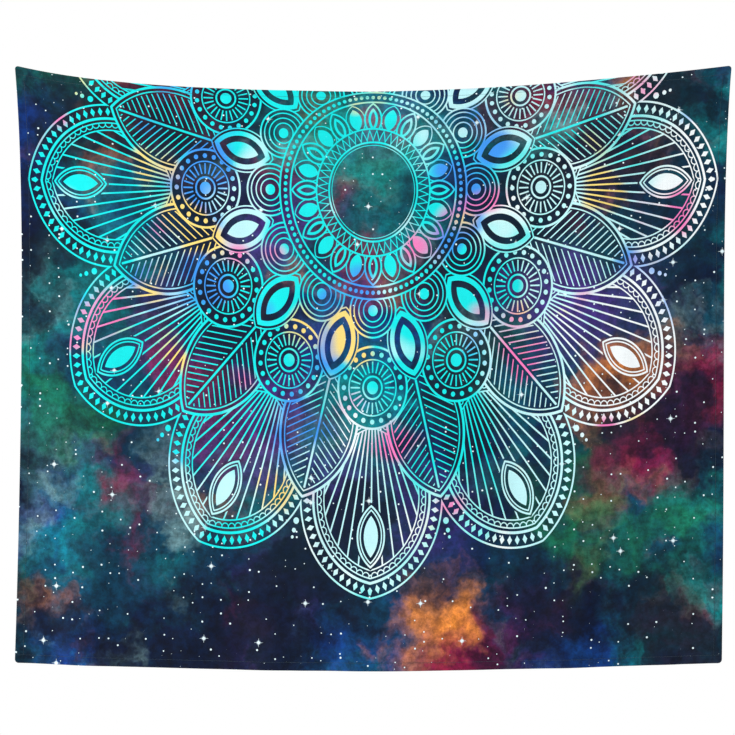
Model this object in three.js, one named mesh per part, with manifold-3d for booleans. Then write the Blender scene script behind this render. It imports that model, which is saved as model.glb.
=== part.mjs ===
// Tapestry wall hanging: a printed cloth with four turned hems. Each hem is lockstitched,
// with its needle thread in front and its bobbin thread behind. Two cord loops, bar-tacked
// behind the top corners, hang on two stick-on wall hooks.
//
// Frame: millimetres, +Z up. The wall is the plane y = 0, and the cloth hangs in front of
// it and faces -Y. The origin is on the wall, midway between the hooks, at the height of
// the line about which the loops turn on the hooks.

import * as THREE from "three";
import { mergeVertices } from "three/addons/utils/BufferGeometryUtils.js";
import Module from "manifold-3d";

// Cloth, as hemmed and laid flat
const WIDTH = 1524;
const HEIGHT = 1270;
const CLOTH_THICKNESS = 0.6;
const HEM_WIDTH = 20;
const HEM_THICKNESS = 0.9;
const THREAD_WIDTH = 0.8;
const THREAD_THICKNESS = 0.4;
const STITCH_INSET = 17.5; // stitch line to the cloth's edge
const GAP = 0.3; // between pieces that touch

// How the cloth hangs
const CORNER_RISE = 6; // top corners above the hinge line
const TOP_SAG = 55; // middle of the top edge, below the corners
const BOTTOM_SAG = 18; // middle of the bottom edge, below the bottom corners
const SAG_FADE = 0.13; // part of the height over which the top's sag fades
const SAG_POWER_LEFT = 4; // the left half sags late, close to its corner
const SAG_POWER_RIGHT = 1.75;
const BOTTOM_POWER = 1.5;
const PINCH = 0.03; // narrowing below the corners, as a part of the width
const PINCH_RATE = 5.5;
const PINCH_RELEASE = 0.016;
const LEAN = 11; // bottom edge to the left of the hooks' middle
const FOLD_DEPTH = 8;
const FOLD_START = 0.35; // the folds' depth at the top edge, as a part of FOLD_DEPTH
const BROAD_FOLDS = 4.4; // half waves of the broad folds from the middle to a side
const NARROW_FOLDS = 7.3;
const NARROW_SHARE = 0.4; // the narrow folds' depth, as a part of the broad ones'
const BROAD_PHASE = 0.6; // radians, at the middle of the top edge
const NARROW_PHASE = 1.1;
const BROAD_DRIFT = 0.8; // radians by which the folds move sideways down to the bottom edge
const NARROW_DRIFT = 1.7;
const CORNER_FLAT = 200; // the corners stay flat over about this distance
const COLUMNS = 24; // panels of the faceted cloth
const ROWS = 20;

// Loops, bar tacks, hooks and pads
const CORD_RADIUS = 1.3;
const CORD_SIDES = 8;
const CORD_STEPS = 28;
const LOOP_INSET = 11; // loop's middle to the cloth's side edge
const LOOP_RADIUS = 5.4; // bend of the cord's centre line over the hook
const LOOP_LENGTH = 19;
const TACK_WIDTH = 15;
const TACK_HEIGHT = 4;
const TACK_THICKNESS = 0.7;
const TACK_RISE = 0.5; // tack's lower edge above the cord's ends
const PAD_WIDTH = 14;
const PAD_HEIGHT = 26;
const PAD_THICKNESS = 1;
const PLATE_WIDTH = 16;
const PLATE_TOP = 3; // above the hinge line, and below the cloth's top edge
const PLATE_BOTTOM = -24;
const PLATE_THICKNESS = 2.4;
const PLATE_CORNER = 4;
const HOOK_WIDTH = 5;
const HOOK_THICKNESS = 2;
const HINGE_REACH = 9.2; // wall to the hinge line
const CRADLE_RADIUS = 3.2;
const CRADLE_BOTTOM = -2.3;
const HOOK_TIP = 4.2; // above the hinge line
const GUSSET_BOTTOM = -8.5;

// Places that follow from those
const HALF_WIDTH = WIDTH / 2;
const HALF_CLOTH = CLOTH_THICKNESS / 2;
const HEM_FRONT = HALF_CLOTH + GAP;
const HEM_BACK = HEM_FRONT + HEM_THICKNESS;
const BOBBIN_FRONT = HEM_BACK + GAP;
const BOBBIN_BACK = BOBBIN_FRONT + THREAD_THICKNESS;
const NEEDLE_BACK = -HALF_CLOTH - GAP;
const NEEDLE_FRONT = NEEDLE_BACK - THREAD_THICKNESS;
const HOOK_FRONT = HINGE_REACH + CRADLE_RADIUS + HOOK_THICKNESS;
const SWING_ROOM = 2.2; // hook's tip to the bobbin thread, so that the cloth can swing
const CLOTH_Y = -HOOK_FRONT - SWING_ROOM - BOBBIN_BACK;
const LOOP_X = HALF_WIDTH - LOOP_INSET;
const SEWN_Y = CLOTH_Y + BOBBIN_BACK + GAP + CORD_RADIUS;

const wasm = await Module();
wasm.setup();

// Colours and surfaces
function surface(name, colour, roughness) {
  const material = new THREE.MeshStandardMaterial({ color: colour, roughness, metalness: 0 });
  material.name = name;
  return material;
}

const PRINTED_CLOTH = surface("printed_cloth", 0x0b3346, 0.85);
const NEEDLE_THREAD = surface("needle_thread", 0x16242e, 0.7);
const BOBBIN_THREAD = surface("bobbin_thread", 0xd9dad6, 0.7);
const CORD = surface("cord", 0xe6e4dc, 0.85);
const TACK_THREAD = surface("tack_thread", 0xcfd0cc, 0.75);
const HOOK_PLASTIC = surface("hook_plastic", 0xf2f2f0, 0.3);
const FOAM = surface("foam", 0xc4c8cb, 0.9);

// Where a point of the flat cloth hangs. across runs from -HALF_WIDTH to HALF_WIDTH, and
// down from 0 at the top edge to HEIGHT.
function hangingPoint(across, down) {
  const side = across / HALF_WIDTH;
  const depth = down / HEIGHT;
  const power = side < 0 ? SAG_POWER_LEFT : SAG_POWER_RIGHT;
  const topSag = (TOP_SAG - BOTTOM_SAG) * Math.exp(-depth / SAG_FADE);
  const sag =
    topSag * (1 - Math.abs(side) ** power) +
    BOTTOM_SAG * (1 - Math.abs(side) ** BOTTOM_POWER);
  const pinch = PINCH * (1 - Math.exp(-PINCH_RATE * depth)) - PINCH_RELEASE * depth;
  return new THREE.Vector3(
    across * (1 - pinch) - LEAN * depth ** 3,
    CLOTH_Y + foldDepth(side, depth, across, down),
    CORNER_RISE - down - sag
  );
}

// Soft upright folds, which start shallow at the top edge and leave the top corners flat
function foldDepth(side, depth, across, down) {
  const fromCorner = Math.hypot(HALF_WIDTH - Math.abs(across), down);
  const free = 1 - Math.exp(-((fromCorner / CORNER_FLAT) ** 2));
  const growth = FOLD_START + (1 - FOLD_START) * depth;
  const broadTurn = Math.PI * BROAD_FOLDS * side + BROAD_PHASE + BROAD_DRIFT * depth;
  const narrowTurn = Math.PI * NARROW_FOLDS * side + NARROW_PHASE + NARROW_DRIFT * depth;
  const wave = Math.cos(broadTurn) + NARROW_SHARE * Math.cos(narrowTurn);
  return FOLD_DEPTH * free * growth * wave;
}

// Ends of the hem band that holds a place, and how far the place is between them. A hem is
// stiff across its width, so the cloth runs straight from one end to the other there.
function bandAround(place, low, high) {
  if (place < low + HEM_WIDTH) {
    return [low, low + HEM_WIDTH, (place - low) / HEM_WIDTH];
  }
  if (place > high - HEM_WIDTH) {
    return [high - HEM_WIDTH, high, (place - high + HEM_WIDTH) / HEM_WIDTH];
  }
  return [place, place, 0];
}

function clothPoint(across, down) {
  const [left, right, rightShare] = bandAround(across, -HALF_WIDTH, HALF_WIDTH);
  const [upper, lower, lowerShare] = bandAround(down, 0, HEIGHT);
  const top = hangingPoint(left, upper).lerp(hangingPoint(right, upper), rightShare);
  const bottom = hangingPoint(left, lower).lerp(hangingPoint(right, lower), rightShare);
  return top.lerp(bottom, lowerShare);
}

// Grid lines from one end to the other: the two ends, and the cloth's own lines between
function gridLines(from, to, low, high, count) {
  const lines = [from];
  const inner = (high - low - 2 * HEM_WIDTH) / count;
  for (let step = 0; step <= count; step += 1) {
    const line = low + HEM_WIDTH + inner * step;
    if (line > from + GAP && line < to - GAP) {
      lines.push(line);
    }
  }
  lines.push(to);
  return lines;
}

function acrossLines(from, to) {
  return gridLines(from, to, -HALF_WIDTH, HALF_WIDTH, COLUMNS);
}

function downLines(from, to) {
  return gridLines(from, to, 0, HEIGHT, ROWS);
}

// A closed layer that follows the hanging cloth, from one offset in front of or behind the
// cloth's middle to another
function layerGeometry(across, down, frontOffset, backOffset) {
  const columns = across.length;
  const rows = down.length;
  const positions = [];
  for (const offset of [frontOffset, backOffset]) {
    for (const downPlace of down) {
      for (const acrossPlace of across) {
        const point = clothPoint(acrossPlace, downPlace);
        positions.push(point.x, point.y + offset, point.z);
      }
    }
  }
  const behind = columns * rows;
  const indices = [];
  for (let row = 0; row < rows - 1; row += 1) {
    for (let column = 0; column < columns - 1; column += 1) {
      const a = row * columns + column;
      const b = a + columns;
      indices.push(a, b, b + 1, a, b + 1, a + 1);
      indices.push(behind + a, behind + b + 1, behind + b);
      indices.push(behind + a, behind + a + 1, behind + b + 1);
    }
  }
  const rim = rimOf(columns, rows);
  rim.forEach((a, index) => {
    const b = rim[(index + 1) % rim.length];
    indices.push(a, behind + a, behind + b, a, behind + b, b);
  });
  const geometry = new THREE.BufferGeometry();
  geometry.setAttribute("position", new THREE.Float32BufferAttribute(positions, 3));
  geometry.setIndex(indices);
  return geometry;
}

// The grid's outer points, down the left side, along the bottom, up and back along the top
function rimOf(columns, rows) {
  const rim = [];
  for (let row = 0; row < rows - 1; row += 1) {
    rim.push(row * columns);
  }
  for (let column = 0; column < columns - 1; column += 1) {
    rim.push((rows - 1) * columns + column);
  }
  for (let row = rows - 1; row > 0; row -= 1) {
    rim.push(row * columns + columns - 1);
  }
  for (let column = columns - 1; column > 0; column -= 1) {
    rim.push(column);
  }
  return rim;
}

function piece(name, geometry, material) {
  const mesh = new THREE.Mesh(geometry, material);
  mesh.name = name;
  return mesh;
}

function clothPanel() {
  const geometry = layerGeometry(
    acrossLines(-HALF_WIDTH, HALF_WIDTH),
    downLines(0, HEIGHT),
    -HALF_CLOTH,
    HALF_CLOTH
  );
  return piece("cloth_panel", geometry, PRINTED_CLOTH);
}

// The four hems' bands on the flat cloth: [edge, across from, to, down from, to]. The top
// and bottom bands run the whole width, and the side bands fit between them.
function hemBands(inner, outer, shorten) {
  return [
    ["top", -HALF_WIDTH, HALF_WIDTH, outer, inner],
    ["bottom", -HALF_WIDTH, HALF_WIDTH, HEIGHT - inner, HEIGHT - outer],
    ["left", -HALF_WIDTH + outer, -HALF_WIDTH + inner, shorten, HEIGHT - shorten],
    ["right", HALF_WIDTH - inner, HALF_WIDTH - outer, shorten, HEIGHT - shorten],
  ];
}

function bandPieces(prefix, bands, frontOffset, backOffset, material) {
  return bands.map(([edge, left, right, upper, lower]) => {
    const across = acrossLines(left, right);
    const down = downLines(upper, lower);
    const geometry = layerGeometry(across, down, frontOffset, backOffset);
    return piece(`${prefix}_${edge}`, geometry, material);
  });
}

function hems() {
  const bands = hemBands(HEM_WIDTH, 0, HEM_WIDTH + GAP);
  return bandPieces("hem", bands, HEM_FRONT, HEM_BACK, PRINTED_CLOTH);
}

function threads() {
  const inner = STITCH_INSET + THREAD_WIDTH / 2;
  const outer = STITCH_INSET - THREAD_WIDTH / 2;
  const bands = hemBands(inner, outer, inner + GAP);
  return [
    ...bandPieces("needle_thread", bands, NEEDLE_FRONT, NEEDLE_BACK, NEEDLE_THREAD),
    ...bandPieces("bobbin_thread", bands, BOBBIN_FRONT, BOBBIN_BACK, BOBBIN_THREAD),
  ];
}

// The cord goes up from its sewn end, over the hook and down to its other sewn end
function hangingLoop(name) {
  const points = [];
  const bendSteps = 8;
  const legs = [
    [-LOOP_LENGTH, SEWN_Y],
    [-LOOP_LENGTH + 2.5, SEWN_Y],
    [-LOOP_LENGTH + 5, SEWN_Y],
    [-LOOP_LENGTH + 9.5, (SEWN_Y - HINGE_REACH) / 2],
  ];
  for (const [height, y] of legs) {
    points.push(new THREE.Vector3(-LOOP_RADIUS, y, height));
  }
  for (let step = 0; step <= bendSteps; step += 1) {
    const angle = Math.PI * (1 - step / bendSteps);
    const x = LOOP_RADIUS * Math.cos(angle);
    const z = LOOP_RADIUS * (Math.sin(angle) - 1);
    points.push(new THREE.Vector3(x, -HINGE_REACH, z));
  }
  for (const [height, y] of legs.slice().reverse()) {
    points.push(new THREE.Vector3(LOOP_RADIUS, y, height));
  }
  const section = new THREE.Shape();
  for (let side = 0; side < CORD_SIDES; side += 1) {
    const angle = (2 * Math.PI * (side + 0.5)) / CORD_SIDES;
    const corner = [CORD_RADIUS * Math.cos(angle), CORD_RADIUS * Math.sin(angle)];
    if (side === 0) {
      section.moveTo(...corner);
    } else {
      section.lineTo(...corner);
    }
  }
  const geometry = new THREE.ExtrudeGeometry(section, {
    extrudePath: new THREE.CatmullRomCurve3(points),
    steps: CORD_STEPS,
    bevelEnabled: false,
  });
  return piece(name, welded(geometry), CORD);
}

// Only positions, with shared corners merged, as a closed solid needs
function welded(geometry) {
  geometry.deleteAttribute("normal");
  geometry.deleteAttribute("uv");
  return mergeVertices(geometry, 1e-4);
}

// A plate parallel to the wall, centred on x = 0, from y = back towards -Y
function plateGeometry(width, bottom, top, corner, back, thickness) {
  const outline = new THREE.Shape();
  const half = width / 2;
  outline.moveTo(-half + corner, bottom);
  outline.lineTo(half - corner, bottom);
  outline.absarc(half - corner, bottom + corner, corner, -Math.PI / 2, 0);
  outline.absarc(half - corner, top - corner, corner, 0, Math.PI / 2);
  outline.absarc(-half + corner, top - corner, corner, Math.PI / 2, Math.PI);
  outline.absarc(-half + corner, bottom + corner, corner, Math.PI, 1.5 * Math.PI);
  const geometry = new THREE.ExtrudeGeometry(outline, {
    depth: thickness,
    curveSegments: 5,
    bevelEnabled: false,
  });
  geometry.rotateX(Math.PI / 2);
  geometry.translate(0, back, 0);
  return welded(geometry);
}

// The hook's arm seen from its side, with its reach from the wall first and height second
function armGeometry(root) {
  const plateFace = PAD_THICKNESS + GAP + PLATE_THICKNESS;
  const cradleMiddle = CRADLE_BOTTOM + CRADLE_RADIUS;
  const outerRadius = CRADLE_RADIUS + HOOK_THICKNESS;
  const tipRadius = HOOK_THICKNESS / 2;
  const backRise = 1.5;
  const outline = new THREE.Shape();
  outline.moveTo(root, GUSSET_BOTTOM);
  outline.lineTo(plateFace, GUSSET_BOTTOM);
  outline.quadraticCurveTo(
    plateFace + 1,
    cradleMiddle - outerRadius,
    HINGE_REACH,
    cradleMiddle - outerRadius
  );
  outline.absarc(HINGE_REACH, cradleMiddle, outerRadius, -Math.PI / 2, 0);
  outline.absarc(HOOK_FRONT - tipRadius, HOOK_TIP - tipRadius, tipRadius, 0, Math.PI);
  outline.absarc(HINGE_REACH, cradleMiddle, CRADLE_RADIUS, 0, -Math.PI / 2, true);
  outline.absellipse(
    HINGE_REACH,
    backRise,
    HINGE_REACH - plateFace,
    backRise - CRADLE_BOTTOM,
    -Math.PI / 2,
    -Math.PI,
    true
  );
  outline.lineTo(root, backRise);
  const geometry = new THREE.ExtrudeGeometry(outline, {
    depth: HOOK_WIDTH,
    curveSegments: 6,
    bevelEnabled: false,
  });
  // reach becomes -Y, height becomes Z and the arm's width X
  const turned = new THREE.Matrix4().set(
    0, 0, -1, HOOK_WIDTH / 2,
    -1, 0, 0, 0,
    0, 1, 0, 0,
    0, 0, 0, 1
  );
  geometry.applyMatrix4(turned);
  return welded(geometry);
}

function solidOf(geometry) {
  const mesh = new wasm.Mesh({
    numProp: 3,
    vertProperties: new Float32Array(geometry.attributes.position.array),
    triVerts: new Uint32Array(geometry.index.array),
  });
  return new wasm.Manifold(mesh);
}

function geometryOf(solid) {
  const mesh = solid.getMesh();
  const geometry = new THREE.BufferGeometry();
  const positions = new THREE.BufferAttribute(new Float32Array(mesh.vertProperties), 3);
  geometry.setAttribute("position", positions);
  geometry.setIndex(new THREE.BufferAttribute(new Uint32Array(mesh.triVerts), 1));
  return geometry;
}

function wallHook(name) {
  const back = -PAD_THICKNESS - GAP;
  const plate = plateGeometry(
    PLATE_WIDTH,
    PLATE_BOTTOM,
    PLATE_TOP,
    PLATE_CORNER,
    back,
    PLATE_THICKNESS
  );
  const arm = armGeometry(-back + PLATE_THICKNESS / 2);
  return piece(name, geometryOf(solidOf(plate).add(solidOf(arm))), HOOK_PLASTIC);
}

function adhesivePad(name) {
  const middle = (PLATE_TOP + PLATE_BOTTOM) / 2;
  const geometry = plateGeometry(
    PAD_WIDTH,
    middle - PAD_HEIGHT / 2,
    middle + PAD_HEIGHT / 2,
    PLATE_CORNER - 1,
    0,
    PAD_THICKNESS
  );
  return piece(name, geometry, FOAM);
}

// A block of close stitches across the loop's two sewn ends
function barTack(name) {
  const geometry = plateGeometry(
    TACK_WIDTH,
    -LOOP_LENGTH + TACK_RISE,
    -LOOP_LENGTH + TACK_RISE + TACK_HEIGHT,
    1,
    SEWN_Y + CORD_RADIUS + GAP + TACK_THICKNESS,
    TACK_THICKNESS
  );
  return piece(name, geometry, TACK_THREAD);
}

// One corner's loop, bar tack, hook and pad, placed behind that corner
function cornerGroup(edge, x) {
  const group = new THREE.Group();
  group.add(hangingLoop(`hanging_loop_${edge}`));
  group.add(barTack(`loop_bar_tack_${edge}`));
  group.add(wallHook(`wall_hook_${edge}`));
  group.add(adhesivePad(`adhesive_pad_${edge}`));
  group.position.x = x;
  return group;
}

const tapestry = new THREE.Group();
tapestry.name = "tapestry_wall_hanging";
tapestry.add(clothPanel(), ...hems(), ...threads());
tapestry.add(cornerGroup("left", -LOOP_X));
tapestry.add(cornerGroup("right", LOOP_X));

export default tapestry;
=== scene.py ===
"""A printed tapestry hung by two cord loops on stick-on wall hooks, in metres."""
import math

import bpy
import numpy as np
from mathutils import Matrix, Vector


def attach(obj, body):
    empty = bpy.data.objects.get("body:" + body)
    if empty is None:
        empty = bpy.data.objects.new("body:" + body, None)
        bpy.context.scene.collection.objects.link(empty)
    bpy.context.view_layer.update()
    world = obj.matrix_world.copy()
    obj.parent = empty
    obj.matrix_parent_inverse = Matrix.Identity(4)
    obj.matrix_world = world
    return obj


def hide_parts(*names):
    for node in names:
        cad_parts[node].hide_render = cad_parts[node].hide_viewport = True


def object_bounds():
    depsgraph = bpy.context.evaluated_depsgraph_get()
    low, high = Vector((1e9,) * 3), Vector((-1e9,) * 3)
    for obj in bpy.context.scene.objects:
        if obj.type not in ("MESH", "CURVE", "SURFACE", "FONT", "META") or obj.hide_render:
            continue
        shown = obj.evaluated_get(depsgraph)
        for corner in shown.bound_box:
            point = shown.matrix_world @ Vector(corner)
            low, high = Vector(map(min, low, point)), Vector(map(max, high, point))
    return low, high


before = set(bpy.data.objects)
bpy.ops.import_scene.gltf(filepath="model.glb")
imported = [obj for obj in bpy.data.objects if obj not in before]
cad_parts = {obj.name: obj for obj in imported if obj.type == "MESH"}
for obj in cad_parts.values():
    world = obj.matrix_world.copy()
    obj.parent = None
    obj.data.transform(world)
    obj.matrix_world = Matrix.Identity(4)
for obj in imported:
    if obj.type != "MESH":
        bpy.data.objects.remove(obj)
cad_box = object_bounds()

MM = 0.001

# Cloth, as hemmed and laid flat
WIDTH = 1.524
HEIGHT = 1.270
HALF_WIDTH = WIDTH / 2
CLOTH_THICKNESS = 0.5 * MM
HEM_WIDTH = 20 * MM
HEM_FRONT = 0.3 * MM
HEM_BACK = 1.5 * MM
STITCH_INSET = 17.5 * MM
STITCH_END = STITCH_INSET + 1 * MM
HEM_CLEARANCE = 0.2 * MM
CORNER_RADIUS = 8 * MM
EDGE_ROUND = 1.2 * MM
RIDGE_HEIGHT = 0.35 * MM
RIDGE_WIDTH = 2 * MM

# Grid lines of the cloth and its hems: listed up to the hems' inner edges, then close, then far
EDGE_LINES = np.array([0, 0.3, 0.7, 1.2, 2, 3, 4, 5, 6, 7, 8, 11, 15, 18, 20, 22]) * MM
HEM_EDGE_LINES = np.array([0.25, 0.6, 1.2, 2.0]) * MM
CLOSE_SPACING = 4.5 * MM
FAR_SPACING = 10.5 * MM
CLOSE_MARGIN = 110 * MM

# How the cloth hangs, as in its solid
CLOTH_Y = -18.8 * MM
CORNER_RISE = 6 * MM
TOP_SAG = 55 * MM
BOTTOM_SAG = 18 * MM
SAG_FADE = 0.13
SAG_POWER_LEFT = 4
SAG_POWER_RIGHT = 1.75
BOTTOM_POWER = 1.5
PINCH = 0.03
PINCH_RATE = 5.5
PINCH_RELEASE = 0.016
LEAN = 11 * MM
FOLD_DEPTH = 8 * MM
FOLD_START = 0.35
BROAD_FOLDS = 4.4
NARROW_FOLDS = 7.3
NARROW_SHARE = 0.4
BROAD_PHASE = 0.6
NARROW_PHASE = 1.1
BROAD_DRIFT = 0.8
NARROW_DRIFT = 1.7
CORNER_FLAT = 200 * MM

# Creases that fan out from the top corners
CREASE_DEPTH = 2.2 * MM
CREASE_LENGTH = 160 * MM
CREASE_START = 25 * MM
CREASE_COUNT = 5
CREASE_BEND = 9  # radians in each metre from the corner
LEFT_CREASES = 0.55  # depth of the left corner's, as a part of the right's

# Simulated drape
DRAPE_STEP = 20 * MM
DRAPE_FRAMES = 24
DRAPE_PINNED = 30 * MM
DRAPE_FORWARD = 7 * MM
DRAPE_BACK = 4 * MM
DRAPE_CLOTH = dict(
    quality=5,
    mass=0.05,
    tension_stiffness=30,
    compression_stiffness=30,
    shear_stiffness=8,
    bending_stiffness=0.4,
    air_damping=3,
)

# Stitches
STITCH_PITCH = 3.3 * MM
STITCH_LENGTH = 2.8 * MM
STITCH_RADIUS = 0.24 * MM
STITCH_SWAY = 0.12 * MM
STITCH_SIDES = 6

# Loops and tacks
HINGE_REACH = 9.2 * MM
SEWN_Y = -15.0 * MM
CORD_RADIUS = 1.3 * MM
CORD_SIDES = 32
BRAID_LAY = 0.75 * MM
LOOP_RADIUS = 5.4 * MM
LOOP_LENGTH = 19 * MM
LOOP_X = HALF_WIDTH - 11 * MM
TACK_HALF_WIDTH = 7.5 * MM
TACK_BOTTOM = -18.5 * MM
TACK_TOP = -14.5 * MM
TACK_PASSES = 34
TACK_THREAD_RADIUS = 0.3 * MM
TACK_LEAN = 0.35 * MM
TACK_SWELL = 0.25 * MM

# Hooks and pads
HOOK_BEVEL = 0.3 * MM
PAD_BEVEL = 0.15 * MM

# Camera, light and floor
CAMERA_AWAY = 6.0
CAMERA_LEFT = 12 * MM  # of the solids' middle
CAMERA_UP = 2 * MM
SEEN_WIDTH = 1.562
SENSOR_WIDTH = 36
KEY_PLACE = (-6.5, -2.6, 0.8)
KEY_AIM = (0, 0, -0.6)
KEY_SIZE = 1.6
KEY_POWER = 520
WORLD_DIM = 0.5  # light that the front right lacks, as a part of the rest
FLOOR_DROP = 0.6
FLOOR_WIDE = 2.2
FLOOR_DEEP = 1.6
FLOOR_FORWARD = 0.4


# ---------------------------------------------------------------- how the cloth hangs
def freedom(across, down):
    """0 at the top corners, which are held flat, and 1 well away from them."""
    from_corner = np.hypot(HALF_WIDTH - np.abs(across), down)
    return 1 - np.exp(-((from_corner / CORNER_FLAT) ** 2))


def hanging(across, down):
    """Places of flat-cloth points: across from the middle, down from the top edge."""
    side = across / HALF_WIDTH
    depth = down / HEIGHT
    size = np.abs(side)
    power = np.where(side < 0, SAG_POWER_LEFT, SAG_POWER_RIGHT)
    top_sag = (TOP_SAG - BOTTOM_SAG) * np.exp(-depth / SAG_FADE)
    sag = top_sag * (1 - size**power) + BOTTOM_SAG * (1 - size**BOTTOM_POWER)
    pinch = PINCH * (1 - np.exp(-PINCH_RATE * depth)) - PINCH_RELEASE * depth
    free = freedom(across, down)
    growth = FOLD_START + (1 - FOLD_START) * depth
    broad = np.cos(np.pi * BROAD_FOLDS * side + BROAD_PHASE + BROAD_DRIFT * depth)
    narrow = np.cos(np.pi * NARROW_FOLDS * side + NARROW_PHASE + NARROW_DRIFT * depth)
    x = across * (1 - pinch) - LEAN * depth**3
    y = CLOTH_Y + FOLD_DEPTH * free * growth * (broad + NARROW_SHARE * narrow)
    z = CORNER_RISE - down - sag
    return np.stack([x, y, z], -1)


def creases(across, down):
    """Depth of the small creases that fan out from the two top corners."""
    inward = np.maximum(HALF_WIDTH - np.abs(across), 1e-6)
    reach = np.hypot(inward, down)
    angle = np.arctan2(down, inward)
    rise = np.clip((reach - CREASE_START) / (2 * CREASE_START), 0, 1)
    strength = np.where(across > 0, 1.0, LEFT_CREASES)
    wave = np.sin(angle * 2 * CREASE_COUNT + CREASE_BEND * reach)
    return CREASE_DEPTH * strength * rise * np.exp(-reach / CREASE_LENGTH) * wave


def hung_blank(start, flat, faces, pinned):
    """A cloth-simulated copy of the hanging sheet, which was cut flat and is held by pinned."""
    mesh = bpy.data.meshes.new("drape")
    mesh.from_pydata(start.tolist(), [], faces)
    blank = bpy.data.objects.new("drape", mesh)
    bpy.context.scene.collection.objects.link(blank)
    blank.shape_key_add(name="hung")
    cut = blank.shape_key_add(name="cut")
    cut.data.foreach_set("co", flat.ravel())
    cut.value = 0
    pins = blank.vertex_groups.new(name="pins")
    pins.add([int(index) for index in np.flatnonzero(pinned)], 1.0, "REPLACE")
    simulated = blank.modifiers.new("Cloth", "CLOTH")
    for setting, value in DRAPE_CLOTH.items():
        setattr(simulated.settings, setting, value)
    simulated.settings.vertex_group_mass = "pins"
    simulated.settings.rest_shape_key = cut
    simulated.collision_settings.use_collision = False
    simulated.point_cache.frame_start = 1
    simulated.point_cache.frame_end = DRAPE_FRAMES
    return blank


def settled_places(blank, count):
    """The blank's points after the simulation's last frame. Deletes the blank."""
    scene = bpy.context.scene
    for number in range(1, DRAPE_FRAMES + 1):
        scene.frame_set(number)
    settled = blank.evaluated_get(bpy.context.evaluated_depsgraph_get())
    places = np.empty(count * 3)
    settled.data.vertices.foreach_get("co", places)
    scene.frame_set(1)
    mesh = blank.data
    bpy.data.objects.remove(blank)
    bpy.data.meshes.remove(mesh)
    return places.reshape(-1, 3)


def drape():
    """Depths that a cloth simulation adds to the hanging shape, on a square grid."""
    columns = round(WIDTH / DRAPE_STEP) + 1
    rows = round(HEIGHT / DRAPE_STEP) + 1
    across, down = np.meshgrid(
        np.linspace(-HALF_WIDTH, HALF_WIDTH, columns), np.linspace(0, HEIGHT, rows)
    )
    start = hanging(across, down).reshape(-1, 3)
    flat = np.stack([across, np.full_like(across, CLOTH_Y), -down], -1).reshape(-1, 3)
    pinned = np.hypot(HALF_WIDTH - np.abs(across), down).ravel() < DRAPE_PINNED
    blank = hung_blank(start, flat, grid_faces(columns, rows), pinned)
    change = (settled_places(blank, len(start)) - start)[:, 1].reshape(rows, columns)
    change -= change.mean()
    limit = np.where(change < 0, DRAPE_FORWARD, DRAPE_BACK)
    return limit * np.tanh(change / limit)


def cubic(place, last):
    """Catmull-Rom: the grid point before each place, and the weights of the four round it."""
    base = np.clip(np.floor(place).astype(int), 0, last - 1)
    part = place - base
    weights = [
        -0.5 * part + part**2 - 0.5 * part**3,
        1 - 2.5 * part**2 + 1.5 * part**3,
        0.5 * part + 2 * part**2 - 1.5 * part**3,
        -0.5 * part**2 + 0.5 * part**3,
    ]
    return base, weights


def added_depth(across, down):
    """The simulated depths, smoothly between their grid points."""
    last_row, last_column = DRAPE.shape[0] - 1, DRAPE.shape[1] - 1
    column, column_weights = cubic((across + HALF_WIDTH) / DRAPE_STEP, last_column)
    row, row_weights = cubic(down / DRAPE_STEP, last_row)
    total = np.zeros_like(across)
    for i, row_weight in enumerate(row_weights):
        rows = np.clip(row + i - 1, 0, last_row)
        for j, column_weight in enumerate(column_weights):
            columns = np.clip(column + j - 1, 0, last_column)
            total += row_weight * column_weight * DRAPE[rows, columns]
    return total


def surface(across, down, offset=0.0):
    """Points of the hanging cloth. offset is behind its middle."""
    across, down = round_corners(*np.broadcast_arrays(across, down))
    inner_across = np.clip(across, -HALF_WIDTH, HALF_WIDTH)
    inner_down = np.clip(down, 0, HEIGHT)
    place = hanging(inner_across, inner_down)
    place[..., 1] += freedom(inner_across, inner_down) * added_depth(inner_across, inner_down)
    place[..., 1] += creases(inner_across, inner_down) + offset
    return place


def round_corners(across, down):
    """Draws the flat cloth's four corners in to an arc."""
    from_middle = down - HEIGHT / 2
    over_x = np.abs(across) - (HALF_WIDTH - CORNER_RADIUS)
    over_y = np.abs(from_middle) - (HEIGHT / 2 - CORNER_RADIUS)
    corner = (over_x > 0) & (over_y > 0)
    drawn_in = np.maximum(over_x, over_y) / np.maximum(np.hypot(over_x, over_y), 1e-9)
    scale = np.where(corner, drawn_in, 1)
    new_x = np.sign(across) * (HALF_WIDTH - CORNER_RADIUS + over_x * scale)
    new_y = np.sign(from_middle) * (HEIGHT / 2 - CORNER_RADIUS + over_y * scale)
    return np.where(corner, new_x, across), np.where(corner, new_y + HEIGHT / 2, down)


# ---------------------------------------------------------------- mesh helpers
def grid_faces(columns, rows, start=0, flip=False):
    """The squares of a grid whose points run along its rows, from number start."""
    faces = []
    for row in range(rows - 1):
        for column in range(columns - 1):
            a = start + row * columns + column
            face = (a, a + columns, a + columns + 1, a + 1)
            faces.append(face[::-1] if flip else face)
    return faces


def make(name, places, faces, materials, replaced):
    """A piece that hangs with the cloth and stands for the solid named replaced."""
    mesh = bpy.data.meshes.new(name)
    mesh.from_pydata(np.asarray(places).reshape(-1, 3).tolist(), [], faces)
    for material in materials:
        mesh.materials.append(material)
    mesh.shade_smooth()
    mesh.update()
    piece = bpy.data.objects.new(name, mesh)
    bpy.context.scene.collection.objects.link(piece)
    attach(piece, "hanging")
    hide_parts(replaced)
    return piece


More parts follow.
